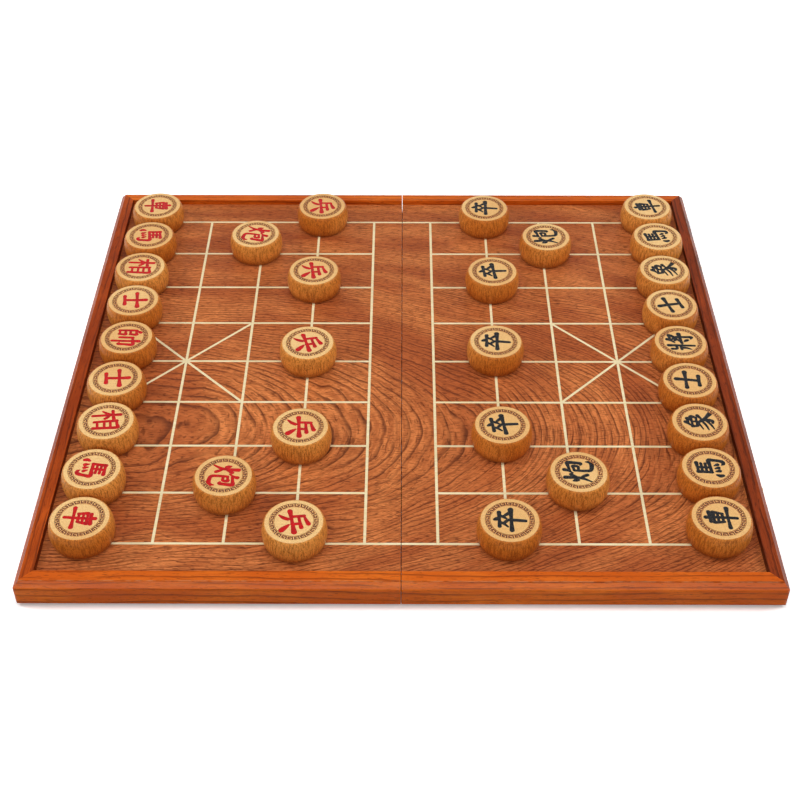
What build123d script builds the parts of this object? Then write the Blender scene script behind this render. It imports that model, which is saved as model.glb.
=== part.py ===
"""A folding wooden xiangqi board with its 32 game pieces, opened flat.

Two shallow wooden trays are hinged underside to underside.  Their outer faces
carry the playing grid, so the open trays make the board and the folded trays
make the box that holds the pieces.  Millimetres, +Z up.  The origin is in the
middle of the board, on the surface it stands on; the ranks run along Y, the
files along X, and the fold is at X = 0.
"""

import os
from math import radians, sin

from build123d import *

os.makedirs("parts", exist_ok=True)

# ---------------------------------------------------------------- driving sizes
# game pieces
piece_diameter = 50.0
piece_height = 21.5
piece_foot_radius = 22.8  # where the bulged side meets the flat ends
piece_edge_round = 2.0
piece_gap = 4.0  # between two pieces on neighbouring crossings
fret_inner_radius = 14.8  # sunk ring that holds the fretwork
fret_width = 4.0
fret_depth = 0.35

# playing grid
ranks_per_half = 5
files_per_board = 9
river_extra = 2.0  # the river is this much wider than a square
line_width = 2.2
line_depth = 1.0
strip_joint = 0.08  # hairline where one strip butts against another
side_margin = 29.0  # outermost rank line to the end rail
front_margin = 31.7  # outermost file line to the front or back rail
ripple_radii = (5.5, 9.0, 12.5)
ripple_width = 0.55
ripple_depth = 0.3
ripple_files = (1.3, 2.95, 5.1, 6.75)  # where the ripples lie along the river

# frame
rail_width = 14.3
rim_height = 5.4  # rail top above the panel
rail_flat = 10.0  # flat part of the rail's top
rail_step = 1.0  # small step beside the flat
rail_slope = 4.6  # fall of the sloping moulding
rail_shoulder_round = 2.6
rail_foot_round = 1.2
rail_edge_round = 0.6
corner_round = 2.5  # the frame's four upright corners
panel_thickness = 4.0
tongue_length = 4.0  # panel edge inside the rail's groove
groove_relief = 0.5  # free depth behind the tongue
groove_clearance = 0.1  # above the tongue
panel_edge_chamfer = 0.3
storage_clearance = 3.5  # above a piece in the folded box
seam_gap = 0.5
seam_rail_width = 12.5

# rubber feet
foot_radius = 5.0
foot_height = 1.6
left_foot_inset = 30.0  # foot centre from the board's corner
right_foot_inset = 50.0

# hinges
hinge_from_middle = 150.0
leaf_length = 22.0
leaf_reach = 9.5
leaf_thickness = 1.0
leaf_recess_clearance = 0.1
outer_knuckle_length = 7.0
knuckle_end_gap = 0.2
knuckle_clearance = 0.4
pin_radius = 0.8
pin_clearance = 0.04

# wood screws
shank_radius = 0.9
shank_length = 7.0
pilot_clearance = 0.05
slot_width = 0.4
slot_depth = 0.4
screw_from_pin = 6.0
screw_spread = 6.5

# swing hooks and their keeper studs
latch_from_middle = 150.0
latch_height = 8.5  # above the rail's foot
hook_thickness = 1.0
hook_bar_width = 3.2
hook_eye_radius = 2.4
hook_tip_radius = 2.6
hook_thumb_length = 4.0
hook_face_gap = 0.3
hook_head_gap = 0.35
hook_pivot_clearance = 0.04
hook_slot_clearance = 0.25
pivot_neck_radius = 1.2
stud_neck_radius = 1.1
latch_head_radius = 2.1
latch_head_thickness = 0.75
latch_head_round = 0.3
fold_short_of_flat = 0.4  # degrees left when the feet meet the rails

# ---------------------------------------------------------------- worked-out sizes
cell = piece_diameter + piece_gap
half_river = (cell + river_extra) / 2
half_files = (files_per_board - 1) * cell / 2
tray_depth = (piece_height + storage_clearance) / 2
rail_height = tray_depth + panel_thickness + rim_height
foot_z = foot_height
panel_z = foot_z + tray_depth
play_z = panel_z + panel_thickness
top_z = foot_z + rail_height
inner_x = half_river + (ranks_per_half - 1) * cell + side_margin
inner_y = half_files + front_margin
outer_x = inner_x + rail_width
outer_y = inner_y + rail_width
seam_x = seam_gap / 2
knuckle_radius = foot_height
leaf_start = knuckle_radius + knuckle_clearance
screw_head_radius = shank_radius + leaf_thickness
latch_z = foot_z + latch_height
latch_reach = 2 * latch_height + outer_x * sin(radians(fold_short_of_flat))


def rank_x(rank):
    """X of a rank line; ranks 0 to 4 are on the left half, 5 to 9 on the right."""
    if rank < ranks_per_half:
        return (rank - ranks_per_half + 1) * cell - half_river
    return (rank - ranks_per_half) * cell + half_river


def file_y(file):
    """Y of a file line, counted from the front."""
    return file * cell - half_files


def save(piece, name):
    """Label a finished piece and write its file."""
    piece.part.label = name
    export_step(piece.part, f"parts/{name}.step")


def save_right_twin(piece, name):
    """Write the right half's piece, the mirror image of the left half's."""
    with BuildPart() as twin:
        mirror(piece.part, about=Plane.YZ)
    save(twin, name)


# ---------------------------------------------------------------- rails
def rail_section(plane):
    """Rail cross-section: inner face on the plane's Y axis, outer face to its +X."""
    groove_depth = tongue_length + groove_relief
    groove_low = tray_depth
    groove_high = tray_depth + panel_thickness + groove_clearance
    step_height = rail_height - rail_step
    shoulder = step_height - rail_slope
    rounds = (
        (rail_width, 0, rail_foot_round),
        (rail_width, shoulder, rail_shoulder_round),
        (rail_flat, rail_height, rail_edge_round),
        (0, rail_height, rail_edge_round),
    )
    with BuildSketch(plane) as section:
        with BuildLine():
            Polyline(
                (0, 0),
                (rail_width, 0),
                (rail_width, shoulder),
                (rail_flat, step_height),
                (rail_flat, rail_height),
                (0, rail_height),
                (0, groove_high),
                (groove_depth, groove_high),
                (groove_depth, groove_low),
                (0, groove_low),
                close=True,
            )
        make_face()
        for u, v, radius in rounds:
            fillet(section.vertices().sort_by_distance((u, v, 0))[0], radius)
    return section.sketch


# the mitres at the left half's two corners, seen from the end rail
front_mitre = Plane(origin=(-outer_x, -outer_y, foot_z), z_dir=(-1, 1, 0))
back_mitre = Plane(origin=(-outer_x, outer_y, foot_z), z_dir=(-1, -1, 0))

# the whole frame's outline, which rounds the mitred corners
with BuildPart() as outline:
    with BuildSketch(Plane.XY.offset(foot_z)):
        RectangleRounded(2 * outer_x, 2 * outer_y, corner_round)
    extrude(amount=rail_height)

seam_end = Plane(origin=(-seam_x, -inner_y, foot_z), x_dir=(0, -1, 0), z_dir=(-1, 0, 0))
front_section = rail_section(seam_end)
with BuildPart() as left_front_rail:
    extrude(front_section, amount=outer_x - seam_x)
    split(bisect_by=front_mitre, keep=Keep.BOTTOM)
    add(outline.part, mode=Mode.INTERSECT)
save(left_front_rail, "left_front_rail")
save_right_twin(left_front_rail, "right_front_rail")

with BuildPart() as left_back_rail:
    mirror(left_front_rail.part, about=Plane.XZ)
save(left_back_rail, "left_back_rail")
save_right_twin(left_back_rail, "right_back_rail")

front_end = Plane(origin=(-inner_x, -outer_y, foot_z), x_dir=(-1, 0, 0), z_dir=(0, 1, 0))
end_section = rail_section(front_end)
with BuildPart() as left_end_rail:
    extrude(end_section, amount=2 * outer_y)
    split(bisect_by=front_mitre, keep=Keep.TOP)
    split(bisect_by=back_mitre, keep=Keep.TOP)
    add(outline.part, mode=Mode.INTERSECT)
    # pilot holes for the latch's studs
    with BuildSketch(Plane.YZ.offset(-outer_x)):
        with Locations((-latch_from_middle, latch_z), (latch_from_middle, latch_z)):
            Circle(shank_radius + pilot_clearance)
    extrude(amount=shank_length, mode=Mode.SUBTRACT)
save(left_end_rail, "left_end_rail")
save_right_twin(left_end_rail, "right_end_rail")

# ---------------------------------------------------------------- seam rails
hinge_spots = [(0, -hinge_from_middle), (0, hinge_from_middle)]
screw_spots = [
    (-screw_from_pin, side * hinge_from_middle + end * screw_spread)
    for side in (-1, 1)
    for end in (-1, 1)
]
recess_length = leaf_length + 2 * leaf_recess_clearance
recess_reach = leaf_reach + leaf_recess_clearance

with BuildPart() as left_seam_rail:
    with BuildSketch(Plane.XY.offset(foot_z)):
        with Locations((-seam_x, 0)):
            Rectangle(seam_rail_width, 2 * inner_y, align=(Align.MAX, Align.CENTER))
    extrude(amount=tray_depth)
    # flat recess for each hinge leaf
    with BuildSketch(Plane.XY.offset(foot_z)):
        with Locations(*hinge_spots):
            Rectangle(recess_reach, recess_length, align=(Align.MAX, Align.CENTER))
    extrude(amount=leaf_thickness, mode=Mode.SUBTRACT)
    # round recess for the knuckles
    for hinge_y in (-hinge_from_middle, hinge_from_middle):
        with BuildSketch(Plane.XZ.offset(-hinge_y - recess_length / 2)):
            with Locations((0, foot_z)):
                Circle(leaf_start)
        extrude(amount=recess_length, mode=Mode.SUBTRACT)
    # pilot holes
    with BuildSketch(Plane.XY.offset(foot_z)):
        with Locations(*screw_spots):
            Circle(shank_radius + pilot_clearance)
    extrude(amount=leaf_thickness + shank_length, mode=Mode.SUBTRACT)
save(left_seam_rail, "left_seam_rail")
save_right_twin(left_seam_rail, "right_seam_rail")

# ---------------------------------------------------------------- grid inlays
inlay_plane = Plane.XY.offset(play_z - line_depth)
palace_middle = files_per_board // 2


def line_strips(joint):
    """The left half's grid strips, each short of the next one by the joint."""
    strip_length = cell - line_width - 2 * joint
    river_length = half_river - line_width / 2 - seam_x - joint
    with BuildPart() as strips:
        with BuildSketch(inlay_plane):
            # rank lines run the whole depth of the grid
            with Locations(*[(rank_x(rank), 0) for rank in range(ranks_per_half)]):
                Rectangle(line_width, 2 * half_files + line_width)
            # file lines are cut between the rank lines
            for rank in range(ranks_per_half - 1):
                middle = (rank_x(rank) + rank_x(rank + 1)) / 2
                with Locations(*[(middle, file_y(file)) for file in range(files_per_board)]):
                    Rectangle(strip_length, line_width)
            # only the two outer files cross the river
            with Locations((-seam_x, -half_files), (-seam_x, half_files)):
                Rectangle(river_length, line_width, align=(Align.MAX, Align.CENTER))
        extrude(amount=line_depth)
    return strips


def palace_strips(joint):
    """The left palace's two diagonals, cut between the lines they cross."""
    room = cell - line_width - 2 * joint
    with BuildPart() as strips:
        for rank_step in (0, 1):
            for file_step in (-1, 0):
                square = Plane(
                    origin=(
                        (rank_x(rank_step) + rank_x(rank_step + 1)) / 2,
                        file_y(palace_middle + file_step) + cell / 2,
                        play_z - line_depth,
                    )
                )
                leaning = 45 if rank_step == file_step + 1 else -45
                with BuildSketch(square):
                    Rectangle(2 * cell, line_width, rotation=leaning)
                    Rectangle(room, room, mode=Mode.INTERSECT)
                extrude(amount=line_depth)
    return strips


left_line_inlays = line_strips(strip_joint)
with left_line_inlays:
    seam_ends = left_line_inlays.edges().filter_by(Axis.Y).group_by(Axis.X)[-1]
    chamfer(seam_ends.group_by(Axis.Z)[-1], panel_edge_chamfer)
save(left_line_inlays, "left_line_inlays")
save_right_twin(left_line_inlays, "right_line_inlays")

left_palace_inlays = palace_strips(strip_joint)
save(left_palace_inlays, "left_palace_inlays")
save_right_twin(left_palace_inlays, "right_palace_inlays")

# ---------------------------------------------------------------- playing panels
panel_length = inner_x + tongue_length - seam_x
panel_depth = 2 * (inner_y + tongue_length)
line_pockets = line_strips(0)
palace_pockets = palace_strips(0)

with BuildPart() as left_panel:
    with BuildSketch(Plane.XY.offset(panel_z)):
        with Locations((-seam_x, 0)):
            Rectangle(panel_length, panel_depth, align=(Align.MAX, Align.CENTER))
    extrude(amount=panel_thickness)
    seam_edges = left_panel.edges().filter_by(Axis.Y).group_by(Axis.X)[-1]
    chamfer(seam_edges.sort_by(Axis.Z)[-1], panel_edge_chamfer)
    add(line_pockets.part, mode=Mode.SUBTRACT)
    add(palace_pockets.part, mode=Mode.SUBTRACT)
    # ripples cut in the river
    with BuildSketch(Plane.XY.offset(play_z - ripple_depth)):
        for file in ripple_files:
            for radius in ripple_radii:
                with Locations((0, file_y(file))):
                    Circle(radius + ripple_width / 2)
                    Circle(radius - ripple_width / 2, mode=Mode.SUBTRACT)
    extrude(amount=ripple_depth, mode=Mode.SUBTRACT)
save(left_panel, "left_panel")
save_right_twin(left_panel, "right_panel")

# ---------------------------------------------------------------- rubber feet
for side, sign, inset in (("left", -1, left_foot_inset), ("right", 1, right_foot_inset)):
    foot_x = sign * (inner_x + rail_width / 2)
    foot_y = outer_y - inset
    with BuildPart() as rubber_feet:
        with BuildSketch(Plane.XY):
            with Locations((foot_x, -foot_y), (foot_x, foot_y)):
                Circle(foot_radius)
        extrude(amount=foot_height)
    save(rubber_feet, f"{side}_rubber_feet")

# ---------------------------------------------------------------- hinges
middle_knuckle_length = leaf_length - 2 * (outer_knuckle_length + knuckle_end_gap)
outer_knuckle_offset = (leaf_length - outer_knuckle_length) / 2


def hinge_leaves(sign, knuckles, bore_radius):
    """Both hinges' leaves on one half; knuckles lists (offset along Y, length)."""
    side = Align.MAX if sign < 0 else Align.MIN
    with BuildPart() as leaves:
        for hinge_y in (-hinge_from_middle, hinge_from_middle):
            with BuildSketch(Plane.XY.offset(foot_z)):
                with Locations((sign * leaf_start, hinge_y)):
                    Rectangle(leaf_reach - leaf_start, leaf_length, align=(side, Align.CENTER))
                for offset, length in knuckles:
                    with Locations((0, hinge_y + offset)):
                        Rectangle(leaf_reach, length, align=(side, Align.CENTER))
            extrude(amount=leaf_thickness)
            for offset, length in knuckles:
                with BuildSketch(Plane.XZ.offset(-(hinge_y + offset) - length / 2)):
                    with Locations((0, foot_z)):
                        Circle(knuckle_radius)
                extrude(amount=length)
            with BuildSketch(Plane.XZ.offset(-hinge_y - leaf_length / 2)):
                with Locations((0, foot_z)):
                    Circle(bore_radius)
            extrude(amount=leaf_length, mode=Mode.SUBTRACT)
            # countersunk screw holes
            for end in (-1, 1):
                hole_y = hinge_y + end * screw_spread
                hole = Plane(origin=(sign * screw_from_pin, hole_y, foot_z))
                with BuildSketch(hole):
                    Circle(screw_head_radius)
                with BuildSketch(hole.offset(leaf_thickness)):
                    Circle(shank_radius)
                loft(mode=Mode.SUBTRACT)
    return leaves


outer_knuckles = [
    (-outer_knuckle_offset, outer_knuckle_length),
    (outer_knuckle_offset, outer_knuckle_length),
]
middle_knuckle = [(0, middle_knuckle_length)]
left_hinge_leaves = hinge_leaves(-1, outer_knuckles, pin_radius)
save(left_hinge_leaves, "left_hinge_leaves")
right_hinge_leaves = hinge_leaves(1, middle_knuckle, pin_radius + pin_clearance)
save(right_hinge_leaves, "right_hinge_leaves")

with BuildPart() as hinge_pins:
    for hinge_y in (-hinge_from_middle, hinge_from_middle):
        with BuildSketch(Plane.XZ.offset(-hinge_y - leaf_length / 2)):
            with Locations((0, foot_z)):
                Circle(pin_radius)
        extrude(amount=leaf_length)
save(hinge_pins, "hinge_pins")

# ---------------------------------------------------------------- hinge screws
with BuildPart() as left_hinge_screws:
    for x, y in screw_spots:
        head = Plane(origin=(x, y, foot_z))
        with BuildSketch(head):
            Circle(screw_head_radius)
        with BuildSketch(head.offset(leaf_thickness)):
            Circle(shank_radius)
        loft()
        with BuildSketch(head.offset(leaf_thickness)):
            Circle(shank_radius)
        extrude(amount=shank_length)
        with BuildSketch(head):
            Rectangle(2 * screw_head_radius, slot_width)
        extrude(amount=slot_depth, mode=Mode.SUBTRACT)
save(left_hinge_screws, "left_hinge_screws")
save_right_twin(left_hinge_screws, "right_hinge_screws")


# ---------------------------------------------------------------- swing hooks
def end_face(sign, y):
    """Plane on an end rail's outer face at the latch height, normal outwards."""
    return Plane(origin=(sign * outer_x, y, latch_z), x_dir=(0, 1, 0), z_dir=(sign, 0, 0))


def headed_pins(sign, neck_radius, slotted):
    """Two round-headed pins screwed into an end rail, with or without a driver slot."""
    neck_length = hook_face_gap + hook_thickness + hook_head_gap
    head_out = neck_length + latch_head_thickness
    with BuildPart() as pins:
        for y in (-latch_from_middle, latch_from_middle):
            face = end_face(sign, y)
            with BuildSketch(face):
                Circle(shank_radius)
            extrude(amount=-shank_length)
            with BuildSketch(face):
                Circle(neck_radius)
            extrude(amount=neck_length)
            with BuildSketch(face.offset(neck_length)):
                Circle(latch_head_radius)
            extrude(amount=latch_head_thickness)
        by_reach = pins.edges().filter_by(GeomType.CIRCLE).group_by(Axis.X)
        fillet(by_reach[-1] if sign > 0 else by_reach[0], latch_head_round)
        if slotted:
            for y in (-latch_from_middle, latch_from_middle):
                with BuildSketch(end_face(sign, y).offset(head_out)):
                    Rectangle(slot_width, 2 * latch_head_radius)
                extrude(amount=-slot_depth, mode=Mode.SUBTRACT)
    return pins


hook_pivot_screws = headed_pins(1, pivot_neck_radius, slotted=True)
save(hook_pivot_screws, "hook_pivot_screws")
keeper_studs = headed_pins(-1, stud_neck_radius, slotted=False)
save(keeper_studs, "keeper_studs")

# the hook lies along the rail, its slot open downwards
hook_plane = end_face(1, -latch_from_middle).offset(hook_face_gap)
slot_half = stud_neck_radius + hook_slot_clearance
with BuildPart() as hook_front:
    with BuildSketch(hook_plane):
        Circle(hook_eye_radius)
        Rectangle(latch_reach, hook_bar_width, align=(Align.MIN, Align.CENTER))
        with Locations((latch_reach, 0)):
            Circle(hook_tip_radius)
        with Locations((latch_reach, hook_bar_width / 4)):
            SlotOverall(2 * (hook_tip_radius + hook_thumb_length), hook_bar_width / 2)
        Circle(pivot_neck_radius + hook_pivot_clearance, mode=Mode.SUBTRACT)
        with Locations((latch_reach, 0)):
            Circle(slot_half, mode=Mode.SUBTRACT)
            Rectangle(
                2 * slot_half,
                hook_tip_radius + hook_bar_width,
                align=(Align.CENTER, Align.MAX),
                mode=Mode.SUBTRACT,
            )
    extrude(amount=hook_thickness)
save(hook_front, "hook_front")

with BuildPart() as hook_back:
    mirror(hook_front.part, about=Plane.XZ)
save(hook_back, "hook_back")

# ---------------------------------------------------------------- game pieces
# name: rank, file, and how far the piece stands off its crossing, in piece gaps
standing = {
    "red_chariot_1": (0, 0, 0.25, 1.50),
    "red_horse_1": (0, 1, 0.25, 1.25),
    "red_elephant_1": (0, 2, 0.75, 1.75),
    "red_advisor_1": (0, 3, 0.50, 1.50),
    "red_general": (0, 4, 0.75, 1.75),
    "red_advisor_2": (0, 5, 0.25, 1.50),
    "red_elephant_2": (0, 6, 0.00, 0.75),
    "red_horse_2": (0, 7, 0.25, 0.00),
    "red_chariot_2": (0, 8, 0.50, -0.75),
    "red_cannon_1": (2, 1, -0.75, -0.50),
    "red_cannon_2": (2, 7, -1.25, 0.75),
    "red_soldier_1": (3, 0, 0.25, 0.75),
    "red_soldier_2": (3, 2, 0.00, 0.00),
    "red_soldier_3": (3, 4, 0.00, 0.00),
    "red_soldier_4": (3, 6, 0.00, -0.50),
    "red_soldier_5": (3, 8, 0.75, -0.75),
    "black_chariot_1": (9, 0, -0.50, 2.00),
    "black_horse_1": (9, 1, -0.25, 2.00),
    "black_elephant_1": (9, 2, -0.25, 1.75),
    "black_advisor_1": (9, 3, -0.25, 1.25),
    "black_general": (9, 4, -0.25, 0.50),
    "black_advisor_2": (9, 5, -0.25, 0.25),
    "black_elephant_2": (9, 6, 0.00, 0.00),
    "black_horse_2": (9, 7, 0.25, 0.00),
    "black_chariot_2": (9, 8, -0.50, -0.75),
    "black_cannon_1": (7, 1, 0.75, 0.75),
    "black_cannon_2": (7, 7, 0.50, -0.25),
    "black_soldier_1": (6, 0, 0.00, 1.25),
    "black_soldier_2": (6, 2, 0.00, 0.75),
    "black_soldier_3": (6, 4, 0.00, 0.50),
    "black_soldier_4": (6, 6, 0.50, -0.75),
    "black_soldier_5": (6, 8, -0.25, -1.50),
}

for name, (rank, file, along, across) in standing.items():
    x = rank_x(rank) + along * piece_gap
    y = file_y(file) + across * piece_gap
    turning = Plane(origin=(x, y, play_z), x_dir=(1, 0, 0), z_dir=(0, -1, 0))
    with BuildPart() as game_piece:
        # turned disc with a bulged side
        with BuildSketch(turning):
            with BuildLine():
                low = Line((0, 0), (piece_foot_radius, 0))
                widest = (piece_diameter / 2, piece_height / 2)
                bulge = ThreePointArc(low @ 1, widest, (piece_foot_radius, piece_height))
                Polyline(bulge @ 1, (0, piece_height), (0, 0))
            make_face()
        revolve(axis=Axis((x, y, 0), (0, 0, 1)))
        rims = game_piece.edges().filter_by(GeomType.CIRCLE)
        fillet(rims, piece_edge_round)
        # sunk ring for the fretwork
        with BuildSketch(Plane(origin=(x, y, play_z + piece_height))):
            Circle(fret_inner_radius + fret_width)
            Circle(fret_inner_radius, mode=Mode.SUBTRACT)
        extrude(amount=-fret_depth, mode=Mode.SUBTRACT)
    save(game_piece, name)
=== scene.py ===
"""A folding xiangqi board with its 32 game pieces: finishes, carving, table, lights and camera."""

import bpy
import numpy as np
from mathutils import Matrix, Vector


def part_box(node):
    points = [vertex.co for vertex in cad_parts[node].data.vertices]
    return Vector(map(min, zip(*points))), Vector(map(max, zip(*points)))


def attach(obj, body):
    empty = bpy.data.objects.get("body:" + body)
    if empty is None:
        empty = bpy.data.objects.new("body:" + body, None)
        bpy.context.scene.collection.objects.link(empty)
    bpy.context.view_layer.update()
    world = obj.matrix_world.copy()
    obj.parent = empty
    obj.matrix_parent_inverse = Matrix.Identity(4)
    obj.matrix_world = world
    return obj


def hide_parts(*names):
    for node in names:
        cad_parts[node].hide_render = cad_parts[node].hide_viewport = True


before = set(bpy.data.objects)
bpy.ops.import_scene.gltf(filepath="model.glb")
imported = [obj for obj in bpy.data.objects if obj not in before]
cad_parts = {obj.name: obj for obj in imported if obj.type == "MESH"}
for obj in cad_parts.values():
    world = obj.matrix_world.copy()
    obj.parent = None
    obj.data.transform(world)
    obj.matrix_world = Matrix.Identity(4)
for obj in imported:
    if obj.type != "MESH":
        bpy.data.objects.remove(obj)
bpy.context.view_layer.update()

mm = 0.001

# ---------------------------------------------------------------- rails
# The frame's mitred hardwood rails and the two plain rails beside the seam, under the panels.
# They are milled, stained red-brown, glued at the mitres and lacquered to a gloss.
# The lacquer is thin on the arrises, and a pale line on the bead is partly that wear and partly painted
# highlight; it is dull where hands hold the box.
inner_x = 273.0 * mm
inner_y = 247.7 * mm
flat_width = 10.0 * mm
rail_top = 23.5 * mm
wall_film = 0.1 * mm  # everything nearer than this to the inner wall's plane is the wall
worn_and_lit_width = 0.6 * mm  # half the width of the pale line on the bead, partly worn lacquer and partly painted highlight
worn_and_lit_depth = 1.2 * mm  # how far below the top the pale line reaches
worn_and_highlight_share = 0.5  # how far the pale line goes over to its pale colour, for wear and painted highlight


def put(tree, kind, feeds, **settings):
    """A new shader node; feeds gives inputs, by name or number, a value or the socket that drives them."""
    node = tree.nodes.new("ShaderNode" + kind)
    for name, value in settings.items():
        setattr(node, name, value)
    for key, feed in feeds.items():
        if isinstance(feed, bpy.types.NodeSocket):
            tree.links.new(feed, node.inputs[key])
        else:
            node.inputs[key].default_value = feed
    return node


def maths(tree, operation, *feeds):
    """One Math node's result."""
    return put(tree, "Math", dict(enumerate(feeds)), operation=operation).outputs[0]


def ramp(tree, value, low, high, to_low=0.0, to_high=1.0):
    """value carried smoothly from the range low to high over to the range to_low to to_high."""
    feeds = {0: value, 1: low, 2: high, 3: to_low, 4: to_high}
    return put(tree, "MapRange", feeds, interpolation_type="SMOOTHSTEP").outputs[0]


def tint(tree, mask, low, high):
    """The colour low where mask is 0, going to high where it is 1."""
    return put(tree, "Mix", {0: mask, 6: low, 7: high}, data_type="RGBA").outputs[2]


def stained(tree, colour, mask, share, stain):
    """The colour with a stain laid over it where mask is 1, up to the given share."""
    return tint(tree, maths(tree, "MULTIPLY", mask, share), colour, stain)


def stretched(tree, vector, x, y, z):
    """The coordinates, each multiplied by its own number."""
    return put(tree, "VectorMath", {0: vector, 1: (x, y, z)}, operation="MULTIPLY").outputs[0]


def cloudy(tree, vector, scale, detail=2.0, distortion=0.0):
    """Noise from 0 to 1."""
    feeds = {"Vector": vector, "Scale": scale, "Detail": detail, "Distortion": distortion}
    return put(tree, "TexNoise", feeds).outputs[0]


def shared_group(name, inputs, outputs):
    """An empty shader node group: its tree, its inputs' sockets by name, and its output node."""
    group = bpy.data.node_groups.new(name, "ShaderNodeTree")
    group.interface.new_socket("Vector", in_out="INPUT", socket_type="NodeSocketVector")
    for label, value in inputs.items():
        socket = group.interface.new_socket(label, in_out="INPUT", socket_type="NodeSocketFloat")
        socket.default_value = value
    for label in outputs:
        group.interface.new_socket(label, in_out="OUTPUT", socket_type="NodeSocketFloat")
    return group, group.nodes.new("NodeGroupInput").outputs, group.nodes.new("NodeGroupOutput")


def placed(tree, group, vector, **values):
    """The outputs of a shared group placed in a material with its own values."""
    node = put(tree, "Group", {}, node_tree=group)
    tree.links.new(vector, node.inputs["Vector"])
    for label, value in values.items():
        node.inputs[label.replace("_", " ")].default_value = value
    return node.outputs


def new_material(name, roughness, coat=0.0, coat_roughness=0.1, **more):
    """A material with its shader; gives the material, its tree, its shader and its object coordinates."""
    material = bpy.data.materials.new(name)
    material.use_nodes = True
    tree = material.node_tree
    shader = tree.nodes["Principled BSDF"]
    shader.inputs["Roughness"].default_value = roughness
    shader.inputs["Coat Weight"].default_value = coat
    shader.inputs["Coat Roughness"].default_value = coat_roughness
    for label, value in more.items():
        shader.inputs[label.replace("_", " ")].default_value = value
    place = put(tree, "TexCoord", {}).outputs["Object"]
    return material, tree, shader, place


def relief(tree, shader, height, strength, distance):
    """Feeds a height into the shader's normal; distance is the relief's depth in metres."""
    feeds = {"Strength": strength, "Distance": distance, "Height": height}
    tree.links.new(put(tree, "Bump", feeds).outputs[0], shader.inputs["Normal"])


def srgb(red, green, blue):
    """A linear colour from the 0 to 255 values of a screen colour."""
    parts = (red / 255, green / 255, blue / 255)
    return tuple(p / 12.92 if p <= 0.04045 else ((p + 0.055) / 1.055) ** 2.4 for p in parts) + (1.0,)


def dress(names, material):
    """Gives CAD nodes one finish."""
    for name in names:
        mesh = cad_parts[name].data
        mesh.materials.clear()
        mesh.materials.append(material)


# timber: growth rings are the contour lines of a swaying height, and the fibres follow those contours
timber, given, result = shared_group(
    "timber figure",
    {"Rings": 250.0, "Sway": 20.0, "Sway Scale": 6.0, "Flutter": 0.5, "Fibre Scale": 900.0},
    ("Ring", "Fibre", "Pore", "Tone"),
)
# the level that counts the rings: the way across the grain, swayed broadly and fluttered finely
axes = put(timber, "SeparateXYZ", {0: given["Vector"]}).outputs
slow = stretched(timber, given["Vector"], 0.55, 1.0, 1.0)
sway = maths(timber, "SUBTRACT", cloudy(timber, slow, given["Sway Scale"], 1.6, 0.35), 0.5)
quick = stretched(timber, given["Vector"], 0.3, 1.0, 1.0)
flutter = maths(timber, "SUBTRACT", cloudy(timber, quick, 75.0, 3.0), 0.5)
across = maths(timber, "MULTIPLY_ADD", axes[2], 0.8, axes[1])
level = maths(timber, "MULTIPLY", across, given["Rings"])
level = maths(timber, "MULTIPLY_ADD", sway, given["Sway"], level)
level = maths(timber, "MULTIPLY_ADD", flutter, given["Flutter"], level)
side = maths(timber, "DIVIDE", level, given["Rings"])
follow = put(timber, "CombineXYZ", {0: axes[0], 1: side, 2: axes[2]}).outputs[0]
# late wood darkens slowly towards the end of each ring, stops sharply, and fades out in places
growth = maths(timber, "FRACT", level)
late = ramp(timber, growth, 0.58, 0.94)
late = maths(timber, "MULTIPLY", late, ramp(timber, growth, 1.0, 0.93))
force = ramp(timber, cloudy(timber, stretched(timber, follow, 0.12, 1.0, 1.0), 210.0, 2.0), 0.30, 0.56)
timber.links.new(maths(timber, "MULTIPLY", late, force), result.inputs["Ring"])
# fibres, pores and the broad changes of tone run along the rings' contours
fibre = cloudy(timber, stretched(timber, follow, 0.07, 1.0, 0.5), given["Fibre Scale"], 3.0)
timber.links.new(ramp(timber, fibre, 0.32, 0.68), result.inputs["Fibre"])
pore = cloudy(timber, stretched(timber, follow, 0.12, 1.0, 0.5), 1500.0, 1.0)
timber.links.new(ramp(timber, pore, 0.60, 0.70), result.inputs["Pore"])
broad = cloudy(timber, stretched(timber, follow, 0.4, 1.0, 1.0), 26.0, 2.5)
timber.links.new(ramp(timber, broad, 0.3, 0.7), result.inputs["Tone"])

# handling: soft smudges, thin scratches and a little dust
handling, given, result = shared_group("handling", {"Scale": 1.0}, ("Smudge", "Scratch", "Dust"))
spread = put(handling, "VectorMath", {0: given["Vector"]}, operation="SCALE")
handling.links.new(given["Scale"], spread.inputs["Scale"])
spread = spread.outputs[0]
smudge = cloudy(handling, spread, 22.0, 4.0, 0.6)
handling.links.new(ramp(handling, smudge, 0.35, 0.7), result.inputs["Smudge"])
rub = cloudy(handling, stretched(handling, spread, 0.05, 1.0, 1.0), 2600.0, 1.0, 0.2)
gate = ramp(handling, cloudy(handling, spread, 60.0, 1.0), 0.55, 0.65)
scratch = maths(handling, "MULTIPLY", ramp(handling, rub, 0.70, 0.76), gate)
handling.links.new(scratch, result.inputs["Scratch"])
specks = cloudy(handling, spread, 1900.0, 0.0)
handling.links.new(ramp(handling, specks, 0.76, 0.82), result.inputs["Dust"])


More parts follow.
